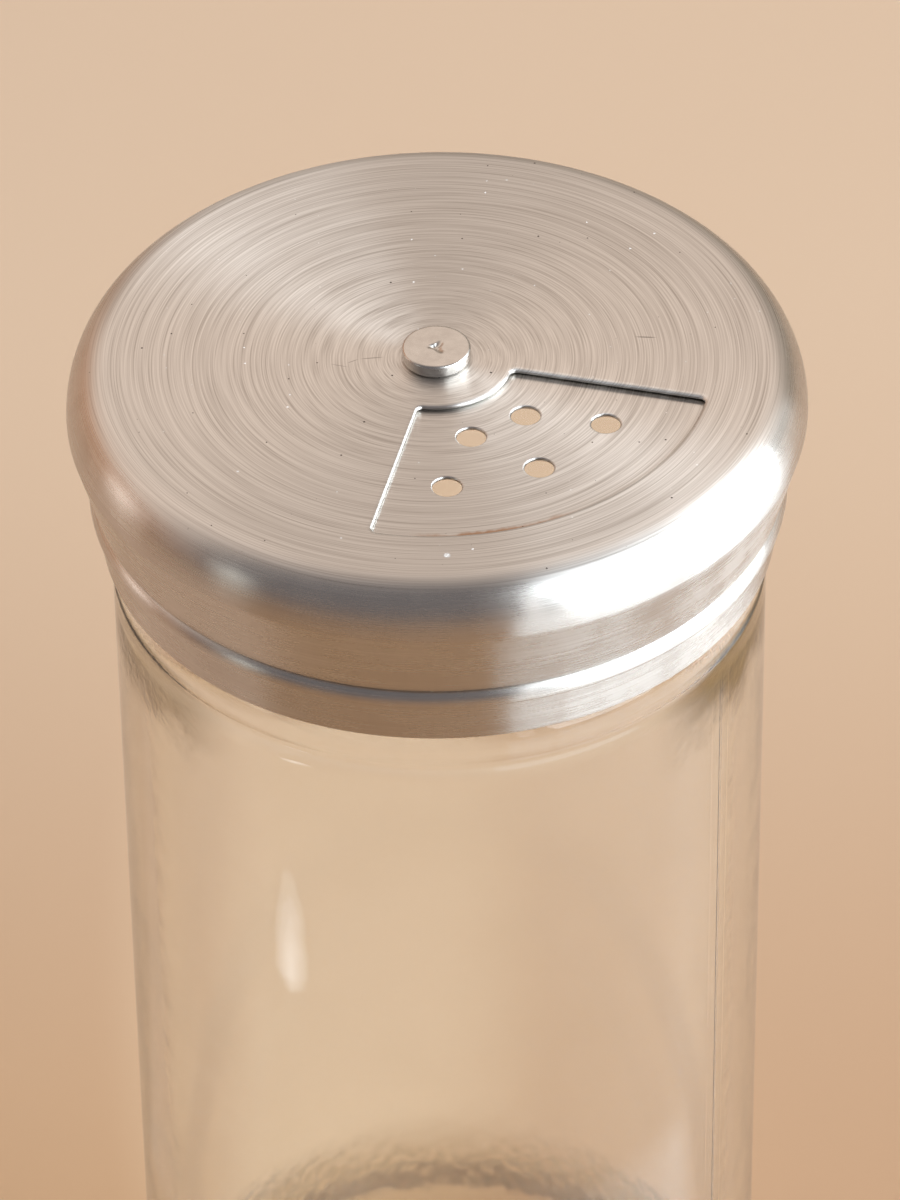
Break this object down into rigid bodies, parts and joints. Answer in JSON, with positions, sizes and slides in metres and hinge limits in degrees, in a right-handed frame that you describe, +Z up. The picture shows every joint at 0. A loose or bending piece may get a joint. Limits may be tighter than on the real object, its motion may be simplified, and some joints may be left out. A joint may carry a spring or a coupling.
{
  "type": "spice shaker",
  "caption": "Glass spice shaker with a threaded steel cap and a riveted dial cap; turning the dial uncovers fine holes, coarse holes, a pouring slot or a blank quarter.",
  "frame": {"origin": "centre of the jar's foot, on the surface it stands on", "axes": "+Z up along the jar's axis, on which the rivet, the thread and the dial are centred; the picture is taken from -Y and above, with the window towards +X and -Y"},
  "size_m": [0.066, 0.066, 0.1372],
  "materials": {
    "jar_glass": "clear pressed glass with a faint hammered ripple",
    "liner_silicone": "matt translucent white",
    "deck_steel": "fine concentric brushing on the deck, polished band",
    "dial_steel": "fine concentric brushing on the flat top, polished shoulder and side",
    "rivet_steel": "satin, lightly dented",
    "washer_steel": "plain mill finish"
  },
  "bodies": {
    "jar": {"glass_jar": "jar_glass"},
    "seal": {"sealing_liner": "liner_silicone"},
    "screw_cap": {"inner_screw_cap": "deck_steel", "pivot_rivet": "rivet_steel", "spring_washer": "washer_steel", "flat_washer": "washer_steel"},
    "dial": {"outer_dial_cap": "dial_steel"}
  },
  "joints": [
    {"name": "lid_lift", "type": "slide", "parent": "jar", "child": "seal", "axis": [0, 0, 1], "range_m": [0, 0.0221]},
    {"name": "lid_turn", "type": "hinge", "parent": "seal", "child": "screw_cap", "pos_m": [0, 0, 0.133], "axis": [0, 0, 1], "range_deg": [0, 1980]},
    {"name": "dial_turn", "type": "hinge", "parent": "screw_cap", "child": "dial", "pos_m": [0, 0, 0.1358], "axis": [0, 0, 1], "continuous": true}
  ],
  "couplings": [
    {"joint": "lid_lift", "follows": "lid_turn", "m_per_rad": 0.00063662}
  ]
}
